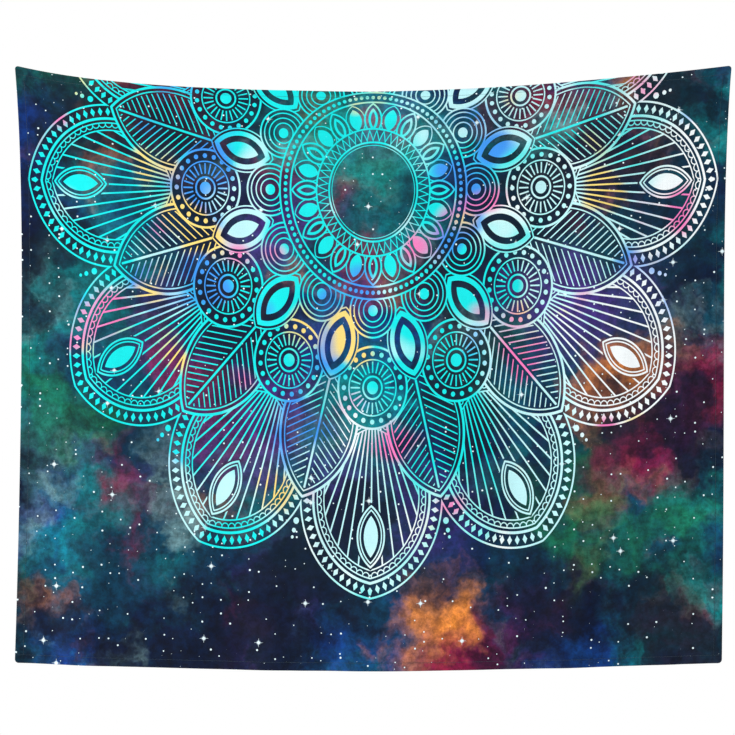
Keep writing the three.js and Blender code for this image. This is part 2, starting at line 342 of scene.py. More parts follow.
def lines_between(low, high):
    """Grid lines of one direction of the cloth: closer near the two ends."""
    ends = np.arange(EDGE_LINES[-1] + CLOSE_SPACING, CLOSE_MARGIN, CLOSE_SPACING)
    steps = round((high - low - 2 * CLOSE_MARGIN) / FAR_SPACING)
    middle = np.linspace(low + CLOSE_MARGIN, high - CLOSE_MARGIN, steps + 1)
    start = np.concatenate([EDGE_LINES, ends])
    return np.concatenate([low + start, middle, (high - start)[::-1]])


def part_of(lines, low, high):
    """The grid lines between low and high, with both ends and a hem's fine lines near them."""
    extra = np.array([0.0, *HEM_EDGE_LINES])
    kept = lines[(lines > low + extra[-1]) & (lines < high - extra[-1])]
    return np.unique(np.round(np.concatenate([low + extra, kept, high - extra]), 7))


def rim(columns, rows):
    """Outer points of a grid, down the left side and round."""
    left = [row * columns for row in range(rows - 1)]
    bottom = [(rows - 1) * columns + column for column in range(columns - 1)]
    right = [row * columns + columns - 1 for row in range(rows - 1, 0, -1)]
    top = list(range(columns - 1, 0, -1))
    return left + bottom + right + top


def slab(across, down, front, back):
    """Points and faces of a closed layer. front and back give offsets at flat places."""
    wide, tall = np.meshgrid(across, down)
    columns, rows = len(across), len(down)
    places = np.concatenate(
        [
            surface(wide, tall, front(wide, tall)).reshape(-1, 3),
            surface(wide, tall, back(wide, tall)).reshape(-1, 3),
        ]
    )
    behind = columns * rows
    front_faces = grid_faces(columns, rows)
    back_faces = grid_faces(columns, rows, behind, True)
    edge = rim(columns, rows)
    sides = []
    for index, a in enumerate(edge):
        b = edge[(index + 1) % len(edge)]
        sides.append((a, behind + a, behind + b, b))
    flat = np.stack([wide / WIDTH + 0.5, 1 - tall / HEIGHT], -1).reshape(-1, 2)
    return places, front_faces, back_faces, sides, np.concatenate([flat, flat])


def give_print_places(piece, flat):
    """A UV layer that holds each point's place on the flat cloth."""
    mesh = piece.data
    layer = mesh.uv_layers.new(name="print")
    index = np.empty(len(mesh.loops), dtype=int)
    mesh.loops.foreach_get("vertex_index", index)
    layer.data.foreach_set("uv", flat[index].ravel())


def tube(points, radius, sides, wobble=None):
    """Places and faces of a capped tube. wobble(along, round) scales its radius."""
    points = np.asarray(points, float)
    run = np.gradient(points, axis=0)
    run /= np.linalg.norm(run, axis=1)[:, None]
    length = np.concatenate([[0], np.cumsum(np.linalg.norm(np.diff(points, axis=0), axis=1))])
    slanting = [0.31, 0.87, 0.38]  # no tube here sets out along this
    first = np.cross(run[0], slanting)
    normal = first / np.linalg.norm(first)
    rings = []
    angles = np.arange(sides) * 2 * np.pi / sides
    for place, way, along in zip(points, run, length):
        normal = normal - way * normal.dot(way)
        normal /= np.linalg.norm(normal)
        other = np.cross(way, normal)
        size = radius * (wobble(along, angles) if wobble else np.ones(sides))
        ring = np.outer(size * np.cos(angles), normal) + np.outer(size * np.sin(angles), other)
        rings.append(place + ring)
    faces = []
    for ring in range(len(points) - 1):
        for side in range(sides):
            a = ring * sides + side
            b = ring * sides + (side + 1) % sides
            faces.append((a, b, b + sides, a + sides))
    faces.append(tuple(range(sides))[::-1])
    last = (len(points) - 1) * sides
    faces.append(tuple(range(last, last + sides)))
    return np.concatenate(rings), faces


def joined(parts):
    """Several (places, faces) as one."""
    places, faces, start = [], [], 0
    for part_places, part_faces in parts:
        places.append(part_places)
        faces += [tuple(index + start for index in face) for face in part_faces]
        start += len(part_places)
    return np.concatenate(places), faces


# ---------------------------------------------------------------- shader nodes
class Nodes:
    """Makes one material's nodes. Methods take numbers or sockets and return a socket."""

    def __init__(self, name):
        self.material = bpy.data.materials.new(name)
        self.material.use_nodes = True
        self.tree = self.material.node_tree
        self.tree.nodes.clear()

    def node(self, kind, inputs=None, **settings):
        node = self.tree.nodes.new(kind)
        for key, value in settings.items():
            setattr(node, key, value)
        for key, value in (inputs or {}).items():
            self.feed(node.inputs[key], value)
        return node

    def feed(self, socket, value):
        if isinstance(value, bpy.types.NodeSocket):
            self.tree.links.new(value, socket)
        else:
            socket.default_value = value

    def math(self, operation, *values):
        node = self.node("ShaderNodeMath", dict(enumerate(values)), operation=operation)
        return node.outputs[0]

    def add(self, a, b):
        return self.math("ADD", a, b)

    def less(self, a, b):
        return self.math("SUBTRACT", a, b)

    def times(self, a, b):
        return self.math("MULTIPLY", a, b)

    def below(self, a, b):
        return self.math("LESS_THAN", a, b)

    def above(self, a, b):
        return self.math("GREATER_THAN", a, b)

    def near(self, a, target, half):
        return self.math("COMPARE", a, target, half)

    def either(self, first, *rest):
        for value in rest:
            first = self.math("MAXIMUM", first, value)
        return first

    def both(self, first, *rest):
        for value in rest:
            first = self.times(first, value)
        return first

    def fold(self, a, pitch):
        """Distance to the nearest multiple of pitch."""
        return self.math("PINGPONG", a, pitch / 2)

    def distance(self, point, x, y):
        node = self.node("ShaderNodeVectorMath", {0: point, 1: (x, y, 0)}, operation="DISTANCE")
        return node.outputs["Value"]

    def point(self, x, y):
        return self.node("ShaderNodeCombineXYZ", {0: x, 1: y}).outputs[0]

    def paint(self, ink, area, new):
        """new inside area, ink outside it."""
        node = self.node("ShaderNodeMix", {0: area, 2: ink, 3: new}, data_type="FLOAT")
        return node.outputs[0]

    def colour(self, share, a, b, kind="MIX"):
        node = self.node("ShaderNodeMix", data_type="RGBA", blend_type=kind)
        self.feed(node.inputs[0], share)
        self.feed(node.inputs[6], a if isinstance(a, bpy.types.NodeSocket) else (*a, 1))
        self.feed(node.inputs[7], b if isinstance(b, bpy.types.NodeSocket) else (*b, 1))
        return node.outputs[2]

    def shaded(self, colour, shade):
        """The colour times a grey value."""
        grey = self.node("ShaderNodeCombineColor", {0: shade, 1: shade, 2: shade}).outputs[0]
        return self.colour(1.0, colour, grey, "MULTIPLY")

    def smooth(self, value, low, high, to_low=0.0, to_high=1.0):
        """to_low where value is low, to_high where it is high, and an S curve between them."""
        values = {0: value, 1: low, 2: high, 3: to_low, 4: to_high}
        node = self.node("ShaderNodeMapRange", values, interpolation_type="SMOOTHSTEP")
        return node.outputs[0]

    def scaled(self, vector, scale, shift=(0, 0, 0)):
        """The vector times scale, plus shift. Each is a vector."""
        values = {0: vector, 1: scale, 2: shift}
        return self.node("ShaderNodeVectorMath", values, operation="MULTIPLY_ADD").outputs[0]

    def turned(self, vector, middle, angle):
        """The vector turned in its plane about middle."""
        values = {"Vector": vector, "Center": (*middle, 0), "Angle": angle}
        return self.node("ShaderNodeVectorRotate", values, rotation_type="Z_AXIS").outputs[0]

    def noise(self, vector, scale, detail=2.0, roughness=0.5, distortion=0.0, flat=True):
        values = {
            "Vector": vector,
            "Scale": scale,
            "Detail": detail,
            "Roughness": roughness,
            "Distortion": distortion,
        }
        dimensions = "2D" if flat else "3D"
        return self.node("ShaderNodeTexNoise", values, noise_dimensions=dimensions).outputs[0]

    def own_place(self):
        """The piece's own coordinates, in metres."""
        return self.node("ShaderNodeTexCoord").outputs["Object"]

    def bump(self, height, distance, strength=1.0):
        values = {"Height": height, "Distance": distance, "Strength": strength}
        return self.node("ShaderNodeBump", values).outputs[0]

    def finish(self, colour, roughness, normal=None, **fixed):
        """The surface shader. fixed are constant values for its other inputs."""
        shader = self.node("ShaderNodeBsdfPrincipled")
        if isinstance(colour, bpy.types.NodeSocket):
            self.feed(shader.inputs["Base Color"], colour)
        else:
            shader.inputs["Base Color"].default_value = (*colour, 1)
        self.feed(shader.inputs["Roughness"], roughness)
        if normal is not None:
            self.feed(shader.inputs["Normal"], normal)
        for key, value in fixed.items():
            shader.inputs[key.replace("_", " ")].default_value = value
        output = self.node("ShaderNodeOutputMaterial")
        self.tree.links.new(shader.outputs[0], output.inputs[0])
        return self.material


# ---------------------------------------------------------------- the print, in millimetres
# A plain line mandala of our own: rings of stock ornament on twelve axes, whose radii are in
# one geometric progression from the open disc in the middle.
CENTRE_DROP = 240
PRINT_SQUEEZE = 0.85
DISC_RADIUS = 112
RING_RATIO = 1.34
RINGS = [DISC_RADIUS * RING_RATIO**step for step in range(8)]
HALF_SECTOR = math.radians(15)
THREAD_SPACING = 0.45
HEAVY = 2.9  # half the width of a line
MEDIUM = 2.1
FINE = 1.5

# Its colours
NIGHT = (0.0006, 0.006, 0.045)
GAP = (0.0005, 0.004, 0.020)
SHADOW = (0.002, 0.018, 0.03)
DEEP_TEAL = (0.002, 0.060, 0.095)
BLUE = (0.002, 0.035, 0.24)
TEAL = (0.002, 0.33, 0.33)
CRIMSON = (0.33, 0.004, 0.045)
VIOLET = (0.085, 0.022, 0.28)
AMBER = (0.85, 0.27, 0.040)
GREEN = (0.010, 0.23, 0.07)
MIST = (0.42, 0.70, 0.70)
STARLIGHT = (0.75, 0.9, 0.95)
UNPRINTED = (0.62, 0.66, 0.68)


def ogive(base, tip, half_width):
    """Centre and radius of the arc that bounds a pointed petal's right half."""
    half = (tip - base) / 2
    radius = (half**2 + half_width**2) / (2 * half_width)
    return half_width - radius, (tip + base) / 2, radius


def petal_edge(n, point, base, tip, half_width):
    """How far outside a petal's outline a point is."""
    x, y, radius = ogive(base, tip, half_width)
    return n.less(n.distance(point, x, y), radius)


def angle_about(n, x, y, centre_x, centre_y):
    """Angle from straight outward, about a point near the axis, in radians."""
    return n.math("ARCTAN2", n.less(x, centre_x), n.less(y, centre_y))


def outer_petals(n, ink, q, x, y):
    """Large petals with rays from their base, edged with lozenges and small scallops."""
    base, tip, half_width = RINGS[5], RINGS[7] - 26, 148
    border, track, lace_inset, ray_inset = 32, 16, 12, 27
    pitch, lozenge_reach, lozenge_rise = math.radians(5.6), 6, 10
    centre_x, centre_y, radius = ogive(base, tip, half_width)
    edge = petal_edge(n, q, base, tip, half_width)
    lane = radius + track
    turn = n.less(angle_about(n, x, y, centre_x, centre_y), math.asin(-centre_x / lane))
    beside = n.times(n.fold(turn, pitch), lane / lozenge_reach)
    outward = n.times(n.math("ABSOLUTE", n.less(edge, track)), 1 / lozenge_rise)
    lozenges = n.below(n.add(beside, outward), 1)
    lines = n.either(lozenges, n.near(edge, border, MEDIUM), n.near(edge, 0, HEAVY))
    lines = n.either(lines, n.near(edge, -10, FINE))
    ink = n.paint(ink, n.below(edge, border + 2), lines)
    lace_lane = radius - lace_inset
    scallop = n.point(n.times(n.fold(turn, pitch), lace_lane), n.less(edge, -lace_inset))
    lace = n.near(n.distance(scallop, 0, 0), pitch * lace_lane / 2, 1.2)
    ink = n.either(ink, n.both(lace, n.near(edge, -lace_inset - 5, 6)))
    source = base - 60
    rays = n.fold(angle_about(n, x, y, 0, source), math.radians(4.6))
    ray_lines = n.below(n.times(rays, n.less(y, source)), FINE + 0.3)
    ink = n.paint(ink, n.below(edge, -ray_inset), ray_lines)
    ink = n.either(ink, n.near(edge, -ray_inset, FINE))
    heart = petal_edge(n, q, RINGS[6] + 30, tip - 34, 34)
    drop = n.either(n.below(heart, -16), n.near(heart, 0, MEDIUM), n.near(heart, -7, FINE))
    return n.paint(ink, n.below(heart, 6), drop)


def leaves(n, ink, b, u, v):
    """Veined leaves between the large petals, each with three dwindling dots past its tip."""
    edge = petal_edge(n, b, RINGS[4], RINGS[6] + 34, 96)
    slope, vein_pitch = 0.75, 17
    veins = n.below(n.fold(n.less(v, n.times(u, slope)), vein_pitch), FINE + 0.2)
    inside = n.either(n.paint(veins, n.below(u, 8), 0.0), n.below(u, 2.6))
    ink = n.paint(ink, n.below(edge, 0), n.times(inside, n.below(edge, -16)))
    ink = n.either(ink, n.near(edge, 0, HEAVY), n.near(edge, -11, FINE))
    for reach, size in ((736, 7), (757, 5), (772, 3.5)):
        ink = n.either(ink, n.below(n.distance(b, 0, reach), size))
    return ink


def wheels(n, ink, q, x, y):
    """Ringed discs with a beaded rim and rays."""
    middle = (RINGS[4] + RINGS[5]) / 2 + 4
    rim_radius, bead_lane, hub = 88, 73, 14
    out = n.distance(q, 0, middle)
    turn = angle_about(n, x, y, 0, middle)
    bead = n.point(n.times(n.fold(turn, math.radians(18)), bead_lane), n.less(out, bead_lane))
    lines = n.either(n.below(n.distance(bead, 0, 0), 5.4), n.near(out, rim_radius, HEAVY))
    lines = n.either(lines, n.near(out, 60, FINE), n.near(out, 24, MEDIUM))
    spokes = n.below(n.times(n.fold(turn, math.radians(15)), out), 1.7)
    lines = n.either(lines, n.both(spokes, n.near(out, 44, 12)), n.below(out, hub))
    return n.paint(ink, n.below(out, rim_radius + 2), lines)


def drops(n, ink, b):
    """Broad bright petals with a solid core."""
    edge = petal_edge(n, b, RINGS[3] - 6, RINGS[4] + 62, 50)
    lines = n.either(n.near(edge, 0, FINE), n.near(edge, -12, 5.5), n.below(edge, -32))
    return n.paint(ink, n.below(edge, 2), lines)


def scales(n, ink, q):
    """Overlapping scallops made of nested arcs."""
    out = n.distance(q, 0, RINGS[3] - 8)
    arcs = n.either(n.below(n.fold(out, 12), FINE), n.near(out, 58, MEDIUM))
    arcs = n.either(n.both(arcs, n.above(out, 20)), n.below(out, 12))
    return n.paint(ink, n.below(out, 60), arcs)


def dotted_band(n, ink, r, turn):
    """A row of dots between two circles."""
    middle = RINGS[2] + 22
    dot = n.point(n.times(n.fold(turn, math.radians(3.75)), middle), n.less(r, middle))
    lines = n.either(n.below(n.distance(dot, 0, 0), 4.6), n.near(r, middle + 14, MEDIUM))
    lines = n.either(lines, n.near(r, middle - 13, MEDIUM))
    return n.paint(ink, n.below(r, middle + 16), lines)


def small_petals(n, ink, q, b):
    """Two overlapping rows of small petals round the band in the middle."""
    back = petal_edge(n, b, RINGS[1] - 16, RINGS[2] + 5, 24)
    back_lines = n.either(n.near(back, 0, FINE), n.below(back, -9))
    ink = n.paint(ink, n.below(back, 1), back_lines)
    front = petal_edge(n, q, RINGS[1] - 22, RINGS[2] + 5, 21)
    front_lines = n.either(n.near(front, 0, MEDIUM), n.near(front, -12, 3))
    return n.paint(ink, n.below(front, 2), front_lines)


def zigzag_band(n, ink, r, turn):
    """A zigzag between two circles, round the open disc."""
    inner, outer, margin = RINGS[0], RINGS[1] - 6, 4
    pitch = math.radians(7.5)
    swing = n.times(n.fold(turn, pitch), (outer - inner - 2 * margin) / (pitch / 2))
    zigzag = n.near(n.less(r, swing), inner + margin, 3.4)
    lines = n.either(zigzag, n.near(r, inner, MEDIUM), n.near(r, outer, MEDIUM))
    lines = n.either(lines, n.near(r, inner - 7, 0.9))
    return n.paint(ink, n.below(r, outer + 2), lines)


def mandala(n, place):
    """The ornament's ink, 0 or 1, and how far from its middle a place is."""
    centred = n.scaled(place, (1 / PRINT_SQUEEZE, 1, 1), (0, -CENTRE_DROP, 0))
    axes = n.node("ShaderNodeSeparateXYZ", {0: centred})
    r = n.distance(centred, 0, 0)
    turn = n.math("ARCTAN2", axes.outputs[0], axes.outputs[1])
    turn = n.math("PINGPONG", turn, HALF_SECTOR)
    other = n.less(HALF_SECTOR, turn)
    x = n.times(r, n.math("SINE", turn))
    y = n.times(r, n.math("COSINE", turn))
    u = n.times(r, n.math("SINE", other))
    v = n.times(r, n.math("COSINE", other))
    q = n.point(x, y)
    b = n.point(u, v)
    ink = outer_petals(n, 0.0, q, x, y)
    ink = leaves(n, ink, b, u, v)
    ink = wheels(n, ink, q, x, y)
    ink = drops(n, ink, b)
    ink = scales(n, ink, q)
    ink = dotted_band(n, ink, r, turn)
    ink = small_petals(n, ink, q, b)
    ink = zigzag_band(n, ink, r, turn)
    return ink, r


def clouds(n, place):
    """Dark clouds: layers of noise, each turned its own way, with dark gaps and fine grain."""
    metres = n.scaled(place, (MM, MM, MM))
    ruffle = n.node(
        "ShaderNodeTexNoise",
        {"Vector": metres, "Scale": 9.0, "Detail": 4.0, "Roughness": 0.6},
        noise_dimensions="2D",
    ).outputs["Color"]
    ruffled = n.scaled(ruffle, (0.16, 0.16, 0.0), metres)
    # Each layer's middle and angle of turn, scale, lowest and highest noise, colour, most cover
    layers = [
        ((2.6, 0.4), 0.4, 1.8, 0.38, 0.68, DEEP_TEAL, 0.95),
        ((0.7, 6.2), 1.1, 2.0, 0.44, 0.68, BLUE, 0.85),
        ((3.1, 7.7), 1.9, 2.3, 0.48, 0.76, TEAL, 0.9),
        ((8.3, 1.9), 2.5, 2.5, 0.52, 0.76, CRIMSON, 0.9),
        ((5.2, 4.4), 0.8, 2.1, 0.51, 0.76, VIOLET, 0.8),
        ((1.4, 9.5), 1.5, 2.9, 0.57, 0.82, AMBER, 0.95),
        ((6.6, 6.1), 2.2, 2.5, 0.54, 0.78, GREEN, 0.65),
        ((9.9, 3.3), 2.9, 3.4, 0.60, 0.84, MIST, 0.6),
    ]
    colour = NIGHT
    for middle, angle, scale, low, high, tint, most in layers:
        cloud = n.noise(n.turned(ruffled, middle, angle), scale, 6, 0.54)
        colour = n.colour(n.smooth(cloud, low, high, 0, most), colour, tint)
    gaps = n.noise(n.turned(ruffled, (4.4, 2.2), 0.6), 3.0, 6, 0.56)
    colour = n.colour(n.smooth(gaps, 0.43, 0.64, 0, 0.93), colour, GAP)
    return n.shaded(colour, n.smooth(n.noise(metres, 45, 5, 0.75), 0.25, 0.8, 0.5, 1.5))


def stars(n, place):
    """Small round stars, and a few larger ones with a glow and four points."""
    metres = n.scaled(place, (MM, MM, MM))
    core, glow_radius, point_reach, point_area = 0.0012, 0.0056, 0.009, 1.6e-6
    fine = n.node("ShaderNodeTexVoronoi", {"Vector": metres, "Scale": 50}, voronoi_dimensions="2D")
    chance = n.node("ShaderNodeSeparateColor", {0: fine.outputs["Color"]}).outputs[0]
    size = n.smooth(chance, 0.64, 1.08, 0.001, 0.15)
    small = n.math("MINIMUM", n.times(n.smooth(fine.outputs["Distance"], size, 0.0), 2.5), 1.0)
    broad = n.node("ShaderNodeTexVoronoi", {"Vector": metres, "Scale": 9}, voronoi_dimensions="2D")
    from_star = {0: metres, 1: broad.outputs["Position"]}
    offset = n.node("ShaderNodeVectorMath", from_star, operation="SUBTRACT").outputs[0]
    parts = n.node("ShaderNodeSeparateXYZ", {0: offset})
    across = n.math("ABSOLUTE", parts.outputs[0])
    along = n.math("ABSOLUTE", parts.outputs[1])
    thin = n.below(n.times(across, along), point_area)
    points = n.both(thin, n.below(n.either(across, along), point_reach))
    length = n.node("ShaderNodeVectorMath", {0: offset}, operation="LENGTH").outputs["Value"]
    glow = n.smooth(length, glow_radius, core)
    chance = n.node("ShaderNodeSeparateColor", {0: broad.outputs["Color"]}).outputs[0]
    return n.either(small, n.both(n.either(points, glow), n.above(chance, 0.66)))


def line_colour(n, place):
    """The lines run from cyan to white, with a few patches of blue, rose and gold."""
    metres = n.scaled(place, (MM, MM, MM))
    split = n.node("ShaderNodeSeparateXYZ", {0: metres})
    drift = n.add(n.add(split.outputs[0], n.times(split.outputs[1], 0.6)), -0.25)
    drift = n.add(drift, n.times(n.noise(metres, 3.0, 3), 1.8))
    colour = n.colour(n.smooth(drift, 1.02, 1.45), (0.005, 0.78, 0.78), (0.88, 0.94, 0.96))
    patches = [
        ((2.7, 5.1), 3.4, 0.52, (0.50, 0.86, 0.90)),
        ((7.2, 2.2), 3.6, 0.61, (0.05, 0.30, 0.86)),
        ((4.9, 8.8), 4.0, 0.61, (0.88, 0.20, 0.50)),
        ((0.8, 3.6), 4.2, 0.63, (0.92, 0.70, 0.20)),
    ]
    for shift, scale, low, tint in patches:
        patch = n.noise(n.scaled(metres, (1, 1, 1), (*shift, 0)), scale, 2)
        colour = n.colour(n.smooth(patch, low, low + 0.1), colour, tint)
    return colour


def flat_place(n):
    """A point's place on the flat cloth, in millimetres from the top edge's middle."""
    unit = n.node("ShaderNodeUVMap", uv_map="print").outputs[0]
    return n.scaled(unit, (WIDTH / MM, -HEIGHT / MM, 0), (-HALF_WIDTH / MM, HEIGHT / MM, 0))


def weave(n, place):
    """Height of a plain weave from 0 to 1: warp and weft threads lie on top by turns."""
    parts = n.node("ShaderNodeSeparateXYZ", {0: place})
    turn = math.pi / THREAD_SPACING
    warp = n.math("SINE", n.times(parts.outputs[0], turn))
    weft = n.math("SINE", n.times(parts.outputs[1], turn))
    warp_on_top = n.above(n.times(warp, weft), 0)
    warp = n.math("ABSOLUTE", warp)
    weft = n.math("ABSOLUTE", weft)
    warp_height = n.times(warp, n.math("MULTIPLY_ADD", weft, 0.5, 0.5))
    weft_height = n.times(weft, n.math("MULTIPLY_ADD", warp, 0.5, 0.5))
    return n.paint(weft_height, warp_on_top, warp_height)


def slubs(n, place):
    """Uneven threads: fine streaks along the warp and the weft, about 0.5 in the middle."""
    streaks = []
    for stretch in ((1.6, 0.03, 1), (0.03, 1.6, 1)):
        drawn = n.node("ShaderNodeVectorMath", {0: place, 1: stretch}, operation="MULTIPLY")
        streaks.append(n.noise(drawn.outputs[0], 1, 2))
    return n.times(n.add(*streaks), 0.5)


def as_cloth(n, place, colour, low, high, depth=0.10):
    """The cloth's shader: painted shade darkens the weave's hollows and painted light brightens
    its thread tops, uneven threads vary the tone, and roughness goes from low to high.
    """
    height = weave(n, place)
    streaks = slubs(n, place)
    # painted light and shade on the weave: thread tops lighter, hollows between threads darker;
    # depth sets how strong
    shade = n.smooth(height, 0, 0.8, 1 - 2.2 * depth, 1 + depth)
    shade = n.times(shade, n.smooth(streaks, 0.3, 0.7, 0.93, 1.07))
    normal = n.bump(n.add(height, streaks), 0.07 * MM, 0.7)
    roughness = n.smooth(n.noise(place, 0.02, 3), 0.3, 0.7, low, high)
    finish = dict(Sheen_Weight=0.02, Sheen_Roughness=0.5, Specular_IOR_Level=0.12)
    return n.finish(n.shaded(colour, shade), roughness, normal, **finish)


def printed_front():
    n = Nodes("printed_cloth")
    place = flat_place(n)
    ink, r = mandala(n, place)
    shadow = n.smooth(r, RINGS[7] - 60, RINGS[7] + 30, 0.28, 0.0)
    ground = n.colour(shadow, clouds(n, place), SHADOW)
    ground = n.colour(stars(n, place), ground, STARLIGHT)
    colour = n.colour(n.times(ink, 0.95), ground, line_colour(n, place))
    return as_cloth(n, place, colour, 0.62, 0.76)


def unprinted_back():
    """The print shows through faintly, in paler colours."""
    n = Nodes("cloth_back")
    place = flat_place(n)
    ink, _ = mandala(n, place)
    seen = n.colour(n.times(ink, 0.8), clouds(n, place), line_colour(n, place))
    return as_cloth(n, place, n.colour(0.64, seen, UNPRINTED), 0.8, 0.9, 0.05)


def turned_hem():
    """The hem's outer fold shows the printed side, past the ornament."""
    n = Nodes("turned_hem")
    place = flat_place(n)
    return as_cloth(n, place, clouds(n, place), 0.68, 0.8)


# ---------------------------------------------------------------- other materials
def spun_thread(name, dark, light, scale):
    """Twisted fibres: fine streaks in colour and height."""
    n = Nodes(name)
    place = n.own_place()
    fibres = n.noise(place, scale, 4, 0.65, 1.5, False)
    patches = n.noise(place, scale / 40, 2, 0.5, 0, False)
    mixed = n.add(n.times(fibres, 0.6), n.times(patches, 0.4))
    colour = n.colour(n.smooth(mixed, 0.35, 0.65), dark, light)
    roughness = n.smooth(fibres, 0.3, 0.7, 0.6, 0.85)
    normal = n.bump(fibres, 0.08 * MM, 0.8)
    return n.finish(colour, roughness, normal, Sheen_Weight=0.2, Specular_IOR_Level=0.3)


def moulded_plastic():
    n = Nodes("hook_plastic")
    place = n.own_place()
    grain = n.noise(place, 1400, 3, 0.6, 0, False)
    marks = n.noise(place, 90, 4, 0.6, 0.5, False)
    colour = n.colour(n.smooth(marks, 0.35, 0.75), (0.80, 0.80, 0.79), (0.88, 0.88, 0.87))
    roughness = n.smooth(marks, 0.3, 0.7, 0.24, 0.38)
    normal = n.bump(grain, 0.02 * MM, 0.5)
    return n.finish(colour, roughness, normal, Specular_IOR_Level=0.5)


def adhesive_foam():
    n = Nodes("adhesive_foam")
    place = n.own_place()
    cells = n.node("ShaderNodeTexVoronoi", {"Vector": place, "Scale": 2600}).outputs["Distance"]
    patches = n.noise(place, 300, 3, 0.6, 0, False)
    colour = n.colour(n.smooth(patches, 0.3, 0.7), (0.46, 0.49, 0.51), (0.58, 0.61, 0.63))
    normal = n.bump(cells, 0.15 * MM, 0.9)
    return n.finish(colour, n.smooth(cells, 0, 0.6, 0.95, 0.7), normal, Specular_IOR_Level=0.2)


# ---------------------------------------------------------------- cloth, hems and stitches
ACROSS_LINES = lines_between(-HALF_WIDTH, HALF_WIDTH)
DOWN_LINES = lines_between(0, HEIGHT)


def inset_of(across, down):
    """How far a place is from the cloth's nearest edge."""
    side = np.minimum(HALF_WIDTH - np.abs(across), np.minimum(down, HEIGHT - down))
    return np.maximum(side, 0)


def edge_curl(across, down):
    """1 at the very edge, falling to 0 along a quarter circle."""
    share = np.clip(1 - inset_of(across, down) / EDGE_ROUND, 0, 1)
    return 1 - np.sqrt(np.maximum(1 - share**2, 0))


def ridge(across, down):
    """The edge where the hem's layers end, which shows faintly on the front."""
    from_ridge = inset_of(across, down) - HEM_WIDTH
    return RIDGE_HEIGHT * np.exp(-((from_ridge / RIDGE_WIDTH) ** 2))


def cloth():
    """The panel: printed on its front and its edges, and unprinted on its back."""
    half = CLOTH_THICKNESS / 2
    places, front, back, sides, flat = slab(
        ACROSS_LINES,
        DOWN_LINES,
        lambda wide, tall: -half + edge_curl(wide, tall) * 0.5 * MM - ridge(wide, tall),
        lambda wide, tall: half + edge_curl(wide, tall) * 0.1 * MM - ridge(wide, tall),
    )
    materials = [printed_front(), unprinted_back()]
    faces = front + back + sides
    piece = make("tapestry_cloth", places, faces, materials, "cloth_panel")
    index = np.zeros(len(faces), dtype=int)
    index[len(front) : len(front) + len(back)] = 1
    piece.data.polygons.foreach_set("material_index", index)
    give_print_places(piece, flat)
    return piece


def hem_bands():
    """The four hems: name, across from and to, down from and to, and whether it is upright."""
    low, high = -HALF_WIDTH, HALF_WIDTH
    start = HEM_WIDTH + HEM_CLEARANCE
    return [
        ("top", low, high, 0, HEM_WIDTH, False),
        ("bottom", low, high, HEIGHT - HEM_WIDTH, HEIGHT, False),
        ("left", low, low + HEM_WIDTH, start, HEIGHT - start, True),
        ("right", high - HEM_WIDTH, high, start, HEIGHT - start, True),
    ]


def hem_back(left, right, top, bottom, upright):
    """A function that gives how far a hem's back is behind the cloth's middle."""

    def offset(wide, tall):
        if upright:
            along, from_edge = tall, np.minimum(wide - left, right - wide)
        else:
            along, from_edge = wide, np.minimum(tall - top, bottom - tall)
        round_off = np.sqrt(np.clip(1 - (1 - np.clip(from_edge / EDGE_ROUND, 0, 1)) ** 2, 0, 1))
        pucker = np.sin(along / 0.011) * 0.5 + np.sin(along / 0.0043 + 2) * 0.3
        from_stitch = inset_of(wide, tall) - STITCH_INSET
        drawn_in = np.exp(-((from_stitch / (1.2 * MM)) ** 2))
        height = (HEM_BACK - HEM_FRONT) * (0.94 + 0.06 * pucker - 0.3 * drawn_in)
        return HEM_FRONT + height * (0.25 + 0.75 * round_off)

    return offset


def hems():
    """The cloth's turned edges, as strips close behind it."""
    material = turned_hem()
    made = []
    for name, left, right, top, bottom, upright in hem_bands():
        places, front, back, sides, flat = slab(
            part_of(ACROSS_LINES, left, right),
            part_of(DOWN_LINES, top, bottom),
            lambda wide, tall: np.full_like(wide, HEM_FRONT),
            hem_back(left, right, top, bottom, upright),
        )
        faces = front + back + sides
        piece = make(
            f"turned_hem_{name}", places, faces, [material], f"hem_{name}"
        )
        give_print_places(piece, flat)
        made.append(piece)
    return made


def stitch_row(start, end, upright, fixed, level, lift):
    """Separate stitches along one hem, each a short tube that dips into the cloth."""
    count = int((end - start) / STITCH_PITCH)
    parts = []
    rise = np.array([-0.3, 0.7, 1.0, 0.7, -0.3])
    reach = np.array([-0.5, -0.36, 0.0, 0.36, 0.5]) * STITCH_LENGTH
    for number in range(count):
        middle = start + (number + 0.5) * (end - start) / count
        sway = STITCH_SWAY * math.sin(number * 1.7)
        along = middle + reach
        beside = np.full(5, fixed + sway)
        offset = level + lift * rise * STITCH_RADIUS * 1.1
        places = surface(beside, along, offset) if upright else surface(along, beside, offset)
        parts.append(tube(places, STITCH_RADIUS, STITCH_SIDES))
    return joined(parts)


def stitch_lines():
    """The four stitch lines: name, whether it is upright, its place, its start and its end."""
    side = HALF_WIDTH - 4 * MM
    across = HALF_WIDTH - STITCH_INSET
    return [
        ("top", False, STITCH_INSET, -side, side),
        ("bottom", False, HEIGHT - STITCH_INSET, -side, side),
        ("left", True, -across, STITCH_END, HEIGHT - STITCH_END),
        ("right", True, across, STITCH_END, HEIGHT - STITCH_END),
    ]


